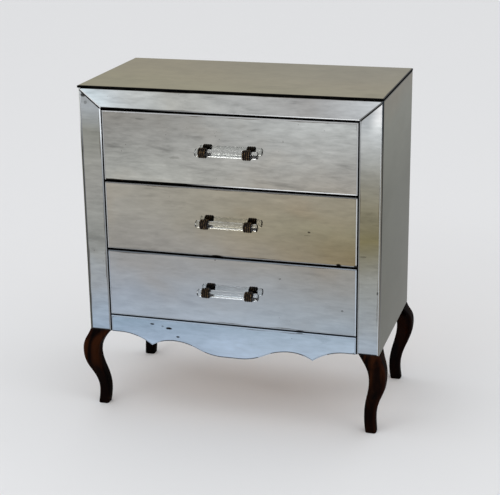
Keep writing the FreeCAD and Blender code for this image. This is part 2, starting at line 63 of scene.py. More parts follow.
class Finish:
    # A node tree being written. node() makes any node: its type, its settings, then its sockets.
    def __init__(self, owner):
        owner.use_nodes = True
        self.owner, self.tree = owner, owner.node_tree
        self.tree.nodes.clear()

    def node(self, kind, settings=None, sockets=(), out=0):
        made = self.tree.nodes.new("ShaderNode" + kind)
        for name, setting in (settings or {}).items():
            if name == "stops":
                self.setStops(made.color_ramp, setting)
            else:
                setattr(made, name, setting)
        pairs = sockets.items() if isinstance(sockets, dict) else enumerate(sockets)
        for name, given in pairs:
            if isinstance(given, Value):
                self.tree.links.new(given.socket, made.inputs[name])
            else:
                made.inputs[name].default_value = given
        return Value(self, made.outputs[out]) if len(made.outputs) else None

    def setStops(self, ramp, stops):
        while len(ramp.elements) < len(stops):
            ramp.elements.new(0.5)
        for element, (at, colour) in zip(ramp.elements, stops):
            element.position, element.color = at, colour

    def coords(self):
        return self.node("TexCoord", out="Object")

    def scaled(self, scale, shift=(0, 0, 0)):
        return self.node("Mapping", None, {"Vector": self.coords(), "Scale": scale, "Location": shift})

    def axis(self, index):
        return self.node("SeparateXYZ", None, (self.coords(),), out=index)

    def noise(self, scale, detail=3.0, rough=0.5, twist=0.0, shift=(0, 0, 0)):
        sockets = {"Vector": self.scaled(scale, shift), "Scale": 1.0, "Detail": detail,
                   "Roughness": rough, "Distortion": twist}
        return self.node("TexNoise", {"noise_dimensions": "3D"}, sockets)

    def attribute(self, name):
        return self.node("Attribute", {"attribute_name": name}, (), out="Fac")

    def step(self, value, low, high):
        # 0 below low, 1 above high, and smooth between them.
        settings = {"interpolation_type": "SMOOTHSTEP", "clamp": True}
        return self.node("MapRange", settings, (value, low, high))

    def larger(self, first, second):
        return self.node("Math", {"operation": "MAXIMUM"}, (first, second))

    def mix(self, factor, first, second, mode="MIX"):
        settings = {"data_type": "RGBA", "blend_type": mode, "clamp_factor": True}
        return self.node("Mix", settings, {0: factor, 6: first, 7: second}, out=2)

    def shade(self, colour, amount):
        return self.node("VectorMath", {"operation": "SCALE"}, {0: colour, "Scale": amount})

    def ramp(self, value, stops):
        return self.node("ValToRGB", {"stops": stops}, (value,))

    def bump(self, height, distance, strength=1.0):
        return self.node("Bump", None, {"Strength": strength, "Distance": distance, "Height": height})


def newFinish(name):
    return Finish(bpy.data.materials.new(name))


def surface(finish, sockets):
    # Ends a finish with its shader, and gives the material.
    shader = finish.node("BsdfPrincipled", None, sockets)
    finish.node("OutputMaterial", None, (shader,))
    return finish.owner


def tone(red, green, blue):
    # A screen colour, 0 to 255, as the linear colour a shader wants.
    parts = [c / 255 for c in (red, green, blue)]
    return tuple(c / 12.92 if c < 0.04045 else ((c + 0.055) / 1.055) ** 2.4 for c in parts) + (1.0,)


# ---- meshes

def gridFaces(rows, columns, wrap=False, loop=False):
    # Quads between neighbouring rows and columns. wrap joins the last column to the first, and
    # loop the last row to the first.
    r = np.arange(rows if loop else rows - 1)[:, None]
    c = np.arange(columns if wrap else columns - 1)[None, :]
    nextRow, nextColumn = (r + 1) % rows, (c + 1) % columns
    quads = np.stack([r * columns + c, r * columns + nextColumn,
                      nextRow * columns + nextColumn, nextRow * columns + c], axis=-1)
    return quads.reshape(-1, 4).tolist()


def merged(shells):
    # One list of points, faces and values out of several shells.
    points, faces, values, first = [], [], [], 0
    for shell in shells:
        points.append(shell["points"])
        faces += [[index + first for index in face] for face in shell["faces"]]
        values.append(shell["values"])
        first += len(shell["points"])
    return {"points": np.concatenate(points), "faces": faces, "values": np.concatenate(values)}


def linked(name, data):
    thing = bpy.data.objects.new(name, data)
    bpy.context.collection.objects.link(thing)
    return thing


def piece(name, shell, materials, body, smooth=True, attribute=None):
    mesh = bpy.data.meshes.new(name)
    mesh.from_pydata(shell["points"].tolist(), [], shell["faces"])
    for material in materials:
        mesh.materials.append(material)
    if "slots" in shell:
        mesh.polygons.foreach_set("material_index", np.array(shell["slots"], dtype=np.int32))
    mesh.polygons.foreach_set("use_smooth", np.full(len(mesh.polygons), smooth))
    for key, word, domain in (("values", attribute, "POINT"), ("shine", "shine", "CORNER")):
        if word and key in shell:
            layer = mesh.attributes.new(word, "FLOAT", domain)
            layer.data.foreach_set("value", shell[key].astype(np.float32))
    mesh.update()
    thing = linked(name, mesh)
    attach(thing, body)
    return thing


def turnedShell(along, radius, count, centre, axis, across, values=None, loop=False):
    # A profile of distances along an axis and radii from it, in mm, carried round the axis: point =
    # centre + along * axis + radius * (cos t * across + sin t * third). An end of radius nought
    # is one point with a fan of triangles, and loop closes the profile on itself.
    along, radius, centre = (np.asarray(given) / 1000 for given in (along, radius, centre))
    axis, across = np.asarray(axis, float), np.asarray(across, float)
    third = np.cross(axis, across)
    poles = [] if loop else [end for end in (0, -1) if radius[end] < 1e-9]
    rows = np.delete(np.arange(len(along)), poles)
    turn = np.linspace(0, 2 * math.pi, count, endpoint=False)
    circle = np.cos(turn)[:, None] * across + np.sin(turn)[:, None] * third
    ring = radius[rows][:, None, None] * circle[None] + (along[rows][:, None] * axis)[:, None, :]
    points = ring.reshape(-1, 3) + centre
    faces = gridFaces(len(rows), count, wrap=True, loop=loop)
    worth = np.zeros(len(along)) if values is None else np.asarray(values, float)
    pointValues = np.repeat(worth[rows], count)
    c = np.arange(count)
    for end in poles:
        tip = len(points)
        points = np.vstack([points, centre + along[end] * axis])
        pointValues = np.append(pointValues, worth[end])
        edge = c if end == 0 else (len(rows) - 1) * count + c
        after = np.roll(edge, -1)
        fan = (after, edge) if end == 0 else (edge, after)
        faces += np.stack([np.full(count, tip), *fan], axis=-1).tolist()
    return {"points": points, "faces": faces, "values": pointValues}


def capped(along, *rows):
    # A profile closed at both ends: each end's place once more, with nought in every row.
    closed = [np.concatenate([[0], row, [0]]) for row in rows]
    return np.concatenate([along[:1], along, along[-1:]]), *closed


# ---- mirrors

# Faces of the case in mm, and how far its upright mirrors reach up, in metres along axis 2.
case = {"front": -190.5, "back": 205.5, "side": 384.0, "foot": 216.0, "top": 855.0}
caseHeight = (2, case["foot"] / 1000, case["top"] / 1000)

glass = {
    "thickness": 4.0,  # all in mm
    "bevel": 2.6,      # width of the polished arris
    "bevelDepth": 1.3,
    "inset": 12.0,     # how far in from the edges the even grid starts
    "step": 14.0,      # its spacing
}


def stops(length, step=None):
    # Places along an edge in mm, as shares of it: close together by its ends, and even between.
    near = np.array([0, glass["bevel"], glass["bevel"] + 0.5, 4.5, 8.0])
    inset, margin = glass["inset"], glass["inset"] + near[-1]
    count = max(2, int((length - margin) / (step or glass["step"])))
    inner = np.linspace(inset, length - inset, count) if length > 2 * margin else [length / 2]
    return np.concatenate([near, inner, length - near[::-1]]) / length


def straight(start, end):
    return lambda t: np.outer(1 - t, start) + np.outer(t, end)


def bent(*corners):
    # A line through several corners, at an even pace.
    corners = np.array(corners, float)
    lengths = np.linalg.norm(np.diff(corners, axis=0), axis=1)
    marks = np.concatenate([[0], np.cumsum(lengths)]) / lengths.sum()
    return lambda t: np.stack([np.interp(t, marks, corners[:, i]) for i in (0, 1)], axis=-1)


def sheetOf(bottom, top, left, right, u, v):
    # A sheet between four edges: the straight blend of bottom and top, plus that of left and
    # right, less the blend of the four corners.
    low, high = bottom(u), top(u)
    near, far = left(v), right(v)
    uu, vv = u[None, :, None], v[:, None, None]
    corners = ((1 - uu) * (1 - vv) * low[0] + uu * (1 - vv) * low[-1]
               + (1 - uu) * vv * high[0] + uu * vv * high[-1])
    return ((1 - vv) * low[None] + vv * high[None]
            + (1 - uu) * near[:, None] + uu * far[:, None] - corners)


def edgeDistance(flat, rim):
    # Each point's distance from the nearest stretch of a closed outline.
    start, end = rim, np.roll(rim, -1, axis=0)
    run = end - start
    toPoint = flat[:, None, :] - start[None]
    share = np.clip((toPoint * run).sum(-1) / np.maximum((run * run).sum(-1), 1e-12), 0, 1)
    return np.linalg.norm(toPoint - share[..., None] * run[None], axis=-1).min(axis=1)


def paintedBevelLight(flat, quads, depth, shine, bend):
    # The painted highlight or painted shade that each corner of the face gets on its bevel, by the way
    # that side of the bevel faces. A side's level runs from its left or low end to its right or high
    # end, as low + (high - low) * share ^ bend. A side that is named first wins where two meet on a slant.
    corners = np.concatenate([flat, -depth[:, None]], axis=-1)[quads]
    normal = np.cross(corners[:, 2] - corners[:, 0], corners[:, 3] - corners[:, 1])
    normal /= np.linalg.norm(normal, axis=-1, keepdims=True)
    share = ((corners[..., :2] - flat.min(axis=0)) / np.ptp(flat, axis=0)) ** bend
    level = np.zeros(quads.shape)
    for way, low, high in reversed(shine):
        axis, sign = {"right": (0, 1), "left": (0, -1), "up": (1, 1), "down": (1, -1)}[way]
        here = np.clip(low + (high - low) * share[..., 1 - axis], 0, 1)
        level = np.where((normal[:, axis] * sign > 0.15)[:, None], here, level)
    return level.ravel()


def paneShell(sheet, origin, across, up, out, thickness, bevel, bevelDepth, shine, paintedLightBend):
    # A flat sheet given its bevel: the face drops by the bevel's depth over the bevel's width,
    # then the sides run straight back to a flat back.
    rows, columns = sheet.shape[:2]
    index = np.arange(rows * columns).reshape(rows, columns)
    ring = np.concatenate([index[0, :-1], index[:-1, -1], index[-1, :0:-1], index[:0:-1, 0]])
    flat = sheet.reshape(-1, 2)
    distance = edgeDistance(flat, flat[ring])
    drop = np.clip(1 - distance / bevel, 0, 1) * bevelDepth
    across, up, out = (np.asarray(axis, float) for axis in (across, up, out))

    def place(flatPoints, depth):
        return (np.asarray(origin) + (flatPoints[:, :1] * across + flatPoints[:, 1:] * up
                                      - depth[:, None] * out) / 1000)
    front = place(flat, drop)
    back = place(flat[ring], np.full(len(ring), thickness))
    first, count = len(front), len(ring)
    k = np.arange(count)
    after = (k + 1) % count
    sides = np.stack([ring[after], ring[k], first + k, first + after], axis=-1).tolist()
    behind = [(first + k[::-1]).tolist()]
    grid = gridFaces(rows, columns)
    level = paintedBevelLight(flat, np.array(grid), drop, shine, paintedLightBend)
    level = np.concatenate([level, np.zeros(4 * len(sides) + len(behind[0]))])
    slots = [0] * len(grid) + [1] * (len(sides) + len(behind))
    values = np.concatenate([distance, np.zeros(count)]) / 1000
    return {"points": np.vstack([front, back]), "faces": grid + sides + behind, "values": values,
            "slots": slots, "shine": level}


def colourStops(shown, over):
    # Stops of what the glass shows over a floor of that brightness, turned into what the silver
    # itself gives back: a painted reflection, carried in the silver's colour.
    def silver(colour):
        return tuple(min(c / over, 0.97) for c in tone(*colour)[:3]) + (1.0,)
    return [(at, silver(colour)) for at, colour in shown]


def agedGlass(name, look):
    # Silvered glass gone smoky: a tint that runs up and across the pane, which is a painted reflection
    # of the room, painted light at the middle of its foot, wisps drawn out along it, brown foxing in
    # from the edges, chips where the silver has gone, and a clear bevel with painted highlights and
    # painted shade.
    f = newFinish(name)
    (wide, w0, w1), (tall, t0, t1), shift = look["across"], look["up"], look["shift"]
    drift = f.noise(look["cloudScale"], 2.0, 0.5, 0.4, shift)
    upShare = f.node("MapRange", {"clamp": True}, (f.axis(tall) + (drift - 0.5) * look["drift"], t0, t1))
    along = f.axis(wide) + (drift - 0.5) * look["drift"] + (upShare - 0.5) * look["lean"]
    acrossShare = f.step(along, w0, w1)
    # The tint is a painted reflection: the room's colours, painted up and across the pane.
    tint = f.mix(acrossShare, f.ramp(upShare, colourStops(look["left"], look["over"])),
                 f.ramp(upShare, colourStops(look["right"], look["over"])))
    wisps = f.noise(look["wispScale"], 5.0, 0.62, 0.6, shift)
    fine = f.noise(tuple(3.1 * s for s in look["wispScale"]), 4.0, 0.6, 0.3, shift)
    patches = f.step(f.noise(look["patchScale"], 2.0, 0.5, 0.0, shift), 0.42, 0.64)
    smoke = f.step(wisps, 0.44, 0.72) * patches
    amount = look["smoke"]
    # A painted glow brightens the middle of the pane's foot: painted light.
    footMiddle = acrossShare * (1 - acrossShare) * (1 - upShare) * 4  # 1 at the middle of the foot
    level = (1 + (wisps - 0.5) * amount + (fine - 0.5) * (amount * 0.6) - smoke * (amount * 0.55)
             + footMiddle * look["paintedGlow"])
    tint = f.shade(tint, level)
    tint = f.mix(f.step(drift, 0.5, 0.75) * look["warmth"], tint, look["warmTint"], "MULTIPLY")

    edge = f.attribute("edge")
    ragged = f.noise((55, 55, 55), 4.0, 0.7, 0.0, shift)
    bay = f.step(f.noise((9, 9, 9), 2.0, 0.5, 0.0, shift), 0.5, 0.72)
    reach = look["foxing"] * (0.15 + bay) * (0.4 + ragged * 1.2)
    bevel = look["bevel"] / 1000
    inside = f.step(edge, bevel * 0.96, bevel * 1.04)
    fox = (1 - f.step((edge - bevel) / reach, 0.2, 1.0)) * inside
    specks = f.node("TexVoronoi", None, {"Vector": f.scaled((1, 1, 1), shift), "Scale": 95.0})
    speckled = (1 - f.step(specks, 0.05, 0.13)) * f.step(ragged * (0.6 + bay * 0.5), 0.45, 0.6)
    gone = speckled * (look["specks"] * inside)
    for x, z, width, height, depth in look["chips"]:
        centre = [0, 0, 0]
        centre[wide], centre[tall] = x / 1000, z / 1000
        size = [0, 0, 0]
        size[wide], size[tall] = 2000 / width, 2000 / height  # away is 1 at the chip's rim
        away = f.node("VectorMath", {"operation": "SUBTRACT"}, (f.coords(), centre))
        away = f.node("VectorMath", {"operation": "MULTIPLY"}, (away, size))
        away = f.node("VectorMath", {"operation": "LENGTH"}, (away,), out="Value")
        gone = f.larger(gone, (1 - f.step(away + (ragged - 0.5) * 1.6, 0.55, 1.15)) * depth)
    tint = f.mix(fox * look["foxDepth"], tint, tone(*look["foxTone"]))
    # On the bevel the pane's tone gives way to the bevel's tone, which keeps a share of the pane's painted
    # reflection and is scaled by its painted highlight or painted shade.
    bevelTone = f.mix(look["through"], (*look["clear"], 1), tint)
    tint = f.mix(1 - inside, tint, f.shade(bevelTone, f.attribute("shine")))
    tint = f.mix(gone, tint, tone(*look["bareTone"]))
    rough = 0.01 + smoke * 0.03 + f.step(fine, 0.5, 0.8) * 0.02 + fox * 0.12 + gone * 0.1
    wave = f.noise((4, 4, 4), 1.0, 0.4, 0.0, shift)
    silvered = inside * (1 - gone)
    return surface(f, {"Base Color": tint, "Metallic": silvered, "Roughness": rough,
                       "Specular IOR Level": 0.03, "Specular Tint": look["grazing"],
                       "Normal": f.bump(wave, 0.0006)})


def glassEdge(name, axis=None, start=0, height=None, low=None, high=None, sign=1):
    # The sides and back of a mirror: black backing paint and grime, and past start on one axis
    # ground glass that turns from one tone to another between two heights: a painted highlight or
    # painted shade on that edge.
    f = newFinish(name)
    grime = f.noise((40, 40, 40), 4.0, 0.6)
    colour = f.mix(f.step(grime, 0.4, 0.7), tone(4, 4, 4), tone(14, 13, 11))
    if height:
        level = f.axis(2) + (grime - 0.5) * 0.03
        place = f.axis(axis) * sign
        paintedEdgeTone = f.mix(f.step(level, *height), tone(*low), tone(*high))
        colour = f.mix(f.step(place, start, start + 0.0002), colour, paintedEdgeTone)
    return surface(f, {"Base Color": colour, "Roughness": 0.5 + grime * 0.2, "Specular IOR Level": 0.0})


edgeGlass = glassEdge("mirror_edge")

# What a mirror has unless its own settings say otherwise. left and right are the tones up each
# side, as (height share, screen colour): a painted reflection of the room. The bevel's level on
# each side is a painted highlight or painted shade, from its left or low end to its right or high
# end, and the glow is painted light at the middle of the foot. A chip is x, z, width and height in
# mm, and its depth.
plain = {"drift": 0.09, "cloudScale": (5, 5, 8), "wispScale": (9, 9, 40), "patchScale": (6, 6, 14),
         "smoke": 0.4, "foxing": 0.003, "foxDepth": 0.8, "specks": 0.8, "chips": [], "warmth": 0.5,
         "warmTint": (1.0, 0.94, 0.88, 1), "over": 0.88, "bevel": glass["bevel"],
         "bevelDepth": glass["bevelDepth"], "grazing": (1, 1, 1, 1),
         "paintedLightBend": 1, "clear": (0.97, 0.99, 1.0), "through": 0.0, "paintedGlow": 0.0, "lean": 0.0,
         "foxTone": (74, 62, 46), "bareTone": (16, 13, 11)}
frontPlane = {"origin": (0, case["front"] / 1000, 0), "across": (1, 0, 0), "up": (0, 0, 1),
              "out": (0, -1, 0)}


def rectangle(x0, x1, z0, z1):
    return sheetOf(straight((x0, z0), (x1, z0)), straight((x0, z1), (x1, z1)),
                   straight((x0, z0), (x0, z1)), straight((x1, z0), (x1, z1)),
                   stops(x1 - x0), stops(z1 - z0))


def addPane(name, node, sheet, plane, look, body, thickness=glass["thickness"], edge=edgeGlass):
    kept = {key: look[key] for key in ("bevel", "bevelDepth", "shine", "paintedLightBend")}
    shell = paneShell(sheet, thickness=thickness, **kept, **plane)
    made = piece(name, shell, [agedGlass(name + "_finish", look), edge], body,
                 smooth=False, attribute="edge")
    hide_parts(node)


# Drawer fronts: the bottom and top of each in mm, and its silvering. Their tones are a painted
# reflection of the room, and their bevel levels are painted highlights and painted shade.
drawerHalf = 323.5
drawerPanes = {
    "upper": {"low": 622.995, "high": 799.5, "smoke": 1.0, "warmth": 0.6, "shift": (3.1, 0, 1.7),
              "shine": [("up", 0.46, 0.4), ("right", 0.42, 0.5), ("left", 0.42, 0.38),
                        ("down", -1.57, 3.1)],
              "left": [(0, (168, 169, 163)), (0.6, (151, 150, 145)), (1, (138, 135, 129))],
              "right": [(0, (155, 150, 141)), (0.5, (167, 167, 163)), (1, (194, 197, 195))],
              "chips": [(-222, 783, 26, 4, 0.35), (-134, 690, 34, 8, 0.3), (141, 745, 3, 8, 0.4)]},
    "middle": {"low": 442.485, "high": 616.995, "smoke": 0.6, "warmth": 0.9, "shift": (7.4, 0, 5.2),
               "lean": 0.35,
               "shine": [("up", 0.16, 0.12), ("right", 0.5, 0.6), ("left", 0.42, 0.42),
                         ("down", 0.25, 0.3)],
               "left": [(0, (149, 146, 140)), (0.5, (153, 150, 142)), (1, (161, 158, 150))],
               "right": [(0, (124, 108, 72)), (0.5, (142, 135, 112)), (1, (154, 147, 131))],
               "chips": [(205, 522.5, 9, 5, 0.8), (200, 514, 18, 2.5, 0.35), (279, 444.5, 17, 8, 1.0),
                         (-31, 443.5, 36, 5, 1.0), (321, 444, 8, 6, 0.9), (-58, 443, 20, 3, 0.7)]},
    "lower": {"low": 262.5, "high": 436.485, "smoke": 0.5, "warmth": 0.5, "shift": (1.3, 0, 9.6),
              "clear": (0.78, 0.88, 1.0),
              "shine": [("up", 0.15, 0.3), ("right", 0.62, 0.58), ("left", 0.5, 0.44),
                        ("down", 0.46, 0.46)],
              "left": [(0, (162, 172, 184)), (0.35, (157, 164, 173)), (1, (156, 155, 153))],
              "right": [(0, (161, 171, 180)), (0.5, (153, 156, 157)), (1, (151, 147, 139))],
              "chips": [(289, 326, 6, 5, 0.5), (131, 396, 6, 6, 0.45), (182, 263.5, 22, 3.5, 0.85),
                        (-37, 432, 5, 4, 0.7)]},
}
# The upper drawer's right glass edge turns from dark to grey up its height: painted light.
paintedLightDrawerEdge = glassEdge("drawer_edge_painted_light", axis=0, start=0.3233, height=(0.66, 0.78),
                       low=(52, 53, 52), high=(118, 120, 120))
for level, spec in drawerPanes.items():
    look = {**plain, **spec, "across": (0, -drawerHalf / 1000, drawerHalf / 1000), "paintedGlow": 0.14,
            "up": (2, spec["low"] / 1000, spec["high"] / 1000)}
    addPane(f"{level}_drawer_pane", f"{level}_mirror",
            rectangle(-drawerHalf, drawerHalf, spec["low"], spec["high"]), frontPlane, look,
            f"{level}_drawer", edge=paintedLightDrawerEdge if level == "upper" else edgeGlass)

# The frame round the drawers: a rail and two stiles, mitred at the top corners. Their tones are
# a painted reflection of the room, and their bevels carry painted highlights and painted shade.
caseFrame = {"outer": 380.0, "inner": 327.5, "railBottom": 805.5, "mitreTop": 850.0}
# The rail's tones run along it: a painted reflection, with a painted highlight of bluish white at its left
# end.
railLook = {**plain, "across": (0, -0.38, 0.38), "up": (0, -0.38, 0.38), "smoke": 0.85,
            "shift": (4.7, 0, 2.9), "warmth": 0.3, "foxing": 0.002, "over": 0.79,
            "shine": [("right", 0.16, 0.16), ("left", 0.9, 0.9), ("up", 0.004, 0.004),
                      ("down", -0.4, 1.5)],
            "left": [(0, (210, 222, 227)), (0.14, (194, 200, 202)), (0.3, (171, 171, 165)),
                     (0.5, (173, 174, 171)), (0.8, (161, 161, 160)), (1, (200, 204, 206))]}
railLook["right"] = railLook["left"]
stileLook = {**plain, "up": caseHeight, "smoke": 0.7, "warmth": 0.3, "paintedLightBend": 10,
             "clear": (0.9, 0.95, 1.0)}
rightTones = [(0, (166, 178, 191)), (0.3, (149, 149, 141)), (0.46, (118, 111, 82)),
              (0.6, (138, 133, 114)), (0.72, (144, 143, 135))]
leftTones = [(0, (160, 177, 195)), (0.2, (163, 169, 175)), (0.4, (146, 147, 142)),
             (0.62, (155, 154, 148)), (0.82, (138, 138, 130)), (0.94, (166, 171, 174))]
stiles = {
    # The right stile's tones turn white near the top of its outer edge: a painted highlight, which its bevel
    # keeps as well.
    "right": {"shift": (14.5, 0, 3.3), "through": 0.7,
              "left": [*rightTones, (0.88, (188, 192, 192)), (0.95, (176, 180, 182))],
              "right": [*rightTones, (0.88, (190, 194, 194)), (0.915, (222, 226, 226)),
                        (0.96, (250, 252, 252))],
              "chips": [(340, 470, 18, 5, 0.35), (376, 380, 4, 9, 0.8)],
              "shine": [("up", 0.004, 0.004), ("left", 0.5, 0.65), ("right", 1.0, 1.0),
                        ("down", 0.1, 0.1)]},
    "left": {"shift": (3.5, 0, 3.3), "left": leftTones, "right": leftTones,
             "chips": [(-372, 836, 14, 10, 0.9), (-366, 818, 10, 12, 0.45)],
             "shine": [("up", 0.004, 0.004), ("right", 0.28, 5.0), ("left", 0.15, 1.0),
                       ("down", 0.1, 0.1)]},
}


def framePanes():
    low, mid, high, foot = caseFrame["railBottom"], caseFrame["mitreTop"], case["top"], case["foot"]
    inner, outer = caseFrame["inner"], caseFrame["outer"]
    rail = sheetOf(straight((-inner, low), (inner, low)), straight((-outer, high), (outer, high)),
                   bent((-inner, low), (-outer, mid), (-outer, high)),
                   bent((inner, low), (outer, mid), (outer, high)), stops(2 * outer), stops(high - low))
    addPane("top_rail_pane", "top_rail_mirror", rail, frontPlane, railLook, "carcass")

    # The left stile's inner glass edge is black below and white near the top: a painted highlight.
    paintedHighlightEdge = glassEdge("inner_edge_painted_highlight", axis=0, start=-0.3278, height=(0.66, 0.76),
                          low=(6, 6, 6), high=(252, 252, 252))
    for side, spec in stiles.items():
        slant = ((inner, low), (outer, mid)) if side == "right" else ((-outer, mid), (-inner, low))
        (x0, z0), (x1, z1) = slant
        stile = sheetOf(straight((x0, foot), (x1, foot)), straight((x0, z0), (x1, z1)),
                        straight((x0, foot), (x0, z0)), straight((x1, foot), (x1, z1)),
                        stops(outer - inner), stops(mid - foot))
        look = {**stileLook, **spec, "across": (0, x0 / 1000 + 0.025, x1 / 1000 + 0.004)}
        addPane(f"{side}_stile_pane", f"{side}_stile_mirror", stile, frontPlane, look, "carcass",
                edge=paintedHighlightEdge if side == "left" else edgeGlass)


framePanes()

# The apron's lower edge from its end to its middle: each point in mm, and a run's level end.
apronEdge = {"points": [(323.5, 213.5), (300.0, 213.5), (214.02, 185.0), (155.0, 201.5),
                        (88.51, 185.75), (22.01, 170.0), (0.0, 170.0)],
             "level": [None, 0, 1, 0, 1, None],
             "top": 258.0, "meanFoot": 185.0, "across": 5.0, "up": 8.0}  # the last two: grid spacing
# The apron's bluish tones are a painted reflection of the floor in front, its bluish bevels are painted
# light, and its glow is painted light at the middle of its foot.
apronLook = {**plain, "across": (0, -0.32, 0.32), "up": (2, 0.17, 0.258), "smoke": 0.6, "paintedGlow": 0.1,
             "shine": [("up", 0.52, 0.52), ("right", 0.6, 0.6), ("left", 0.45, 0.45),
                       ("down", 0.12, 0.12)], "clear": (0.68, 0.82, 1.0),
             "shift": (8.2, 0, 6.1), "warmth": 0.1, "warmTint": (0.97, 0.97, 1.0, 1),
             "left": [(0, (174, 191, 212)), (1, (149, 168, 186))],
             "right": [(0, (182, 198, 215)), (1, (171, 187, 202))],
             "chips": [(-212, 244, 14, 5, 0.97), (-166, 236, 16, 6, 1.0), (-183, 240, 6, 5, 0.5),
                       (-142, 215, 11, 5, 0.97), (182, 256.5, 20, 3, 0.6)]}


def apronDrop(x):
    # The edge's height over x: flats joined by arcs of a circle, each level at one of its ends.
    # An arc of radius r that is level at x0 lies r - sqrt(r^2 - (x - x0)^2) from its height there.
    x = np.abs(x)
    z = np.full_like(x, apronEdge["points"][-1][1])
    for (start, end), level in zip(zip(apronEdge["points"], apronEdge["points"][1:]),
                                   apronEdge["level"]):
        within = (x <= start[0] + 1e-9) & (x >= end[0] - 1e-9)
        if level is None:
            height = np.full_like(x, start[1])
        else:
            flat, far = (start, end) if level == 0 else (end, start)
            run, rise = far[0] - flat[0], far[1] - flat[1]
            radius = (run * run + rise * rise) / (2 * abs(rise))
            inside = np.sqrt(np.maximum(radius ** 2 - (x - flat[0]) ** 2, 0))
            height = flat[1] + math.copysign(1, rise) * (radius - inside)
        z = np.where(within, height, z)
    return z


def apronPane():
    (half, ends), top = apronEdge["points"][0], apronEdge["top"]
    corners = sorted({sign * point[0] for point in apronEdge["points"] for sign in (-1, 1)})
    places = [-half, -half + glass["bevel"]]
    for start, end in zip(corners, corners[1:]):
        count = max(2, int((end - start) / apronEdge["across"]))
        places += np.linspace(start, end, count)[1:].tolist()
    places = np.unique(np.round(places + [half - glass["bevel"]], 5))
    u = (places + half) / (2 * half)

    def bottom(t):
        x = (2 * t - 1) * half
        return np.stack([x, apronDrop(x)], axis=-1)
    sheet = sheetOf(bottom, straight((-half, top), (half, top)), straight((-half, ends), (-half, top)),
                    straight((half, ends), (half, top)), u,
                    stops(top - apronEdge["meanFoot"], apronEdge["up"]))
    # The apron's top glass edge is bluish grey: painted light.
    edge = glassEdge("apron_top_edge", axis=2, start=0.2575, height=(0.1, 0.2), low=(84, 98, 112),
                     high=(84, 98, 112))
    addPane("apron_pane", "apron_mirror", sheet, frontPlane, apronLook, "carcass", edge=edge)


apronPane()

# Side mirrors. left is the front end and right the rear, and edges has the front edge's tones.
# Their tones and grazing tint are darker than the front's: painted shade, as the sides reflect a
# shaded wall, with a lighter painted reflection at the foot. The front edge's tones are painted
# light and painted shade.
sideLook = {**plain, "across": (1, -0.19, 0.2), "up": caseHeight, "smoke": 0.45,
            "wispScale": (6, 5, 16), "cloudScale": (4, 4, 5), "warmth": 0.4,
            "grazing": (0.54, 0.54, 0.51, 1), "specks": 0.5, "foxing": 0.002,
            "shine": [("up", 0.05, 0.05), ("left", 0.22, -0.2), ("right", 0.22, -0.2),
                      ("down", 0.1, 0.1)],
            "left": [(0, (115, 117, 114)), (0.14, (98, 99, 93)), (0.2, (96, 97, 90)), (0.6, (98, 100, 91)),
                     (0.9, (144, 146, 138)), (1, (152, 144, 132))],
            "right": [(0, (104, 106, 103)), (0.14, (88, 89, 84)), (0.3, (87, 88, 82)), (0.6, (91, 93, 85)),
                      (0.9, (140, 142, 134)), (1, (150, 142, 130))],
            "edges": {"right": ((0.64, 0.83), (112, 109, 102), (62, 68, 74)),
                      "left": ((0.70, 0.80), (82, 82, 74), (212, 214, 212))}}


def sidePanes():
    for side, sign in (("right", 1), ("left", -1)):
        ends = sorted((sign * case["front"], sign * case["back"]))
        plane = {"origin": (sign * case["side"] / 1000, 0, 0), "across": (0, sign, 0), "up": (0, 0, 1),
                 "out": (sign, 0, 0)}
        look = {**sideLook, "shift": (2.2, sign * 3.0, 7.7)}
        edge = glassEdge(f"{side}_front_edge_painted_light", 1, 0.1902, *look["edges"][side], sign=-1)
        addPane(f"{side}_side_pane", f"{side}_side_mirror", rectangle(*ends, case["foot"], case["top"]),
                plane, look, "carcass", edge=edge)


sidePanes()

# The thick top slab overhangs the front and the back. Its bevel is small, and its sides are black.
# Its olive tones and grazing tint are a painted reflection of the wall behind, and its glow is
# painted light at the front middle.
topSlab = {"overFront": 4.0, "overBack": 2.0, "thickness": 6.0}
topLook = {**plain, "across": (0, -0.38, 0.38), "up": (1, -0.19, 0.2), "smoke": 0.55, "over": 0.68,
           "grazing": (0.66, 0.64, 0.58, 1),
           "left": [(0.1, (155, 150, 125)), (0.35, (155, 149, 123)), (0.6, (153, 146, 121)),
                    (0.86, (149, 141, 117))],
           "right": [(0.1, (161, 156, 138)), (0.35, (159, 153, 137)), (0.6, (151, 147, 134)),
                     (0.86, (147, 144, 133))],
           "bevel": 2.4, "bevelDepth": 1.0,
           "shine": [("up", 0.02, 0.02), ("right", 0.006, 0.006), ("left", 0.006, 0.006),
                     ("down", 0.004, 0.004)],
           "wispScale": (7, 9, 7), "cloudScale": (3, 4, 3), "patchScale": (5, 5, 5), "warmth": 0.25,
           "paintedGlow": 0.08, "shift": (6.6, 4.1, 0), "specks": 0.35, "foxing": 0.0022}


def topPane():
    thickness, side = topSlab["thickness"], case["side"]
    plane = {"origin": (0, 0, (case["top"] + thickness) / 1000), "across": (1, 0, 0), "up": (0, 1, 0),
             "out": (0, 0, 1)}
    sheet = rectangle(-side, side, case["front"] - topSlab["overFront"], case["back"] + topSlab["overBack"])
    addPane("top_pane", "top_mirror", sheet, plane, topLook, "carcass", thickness)


topPane()
print("mirrors made")


# ---- legs

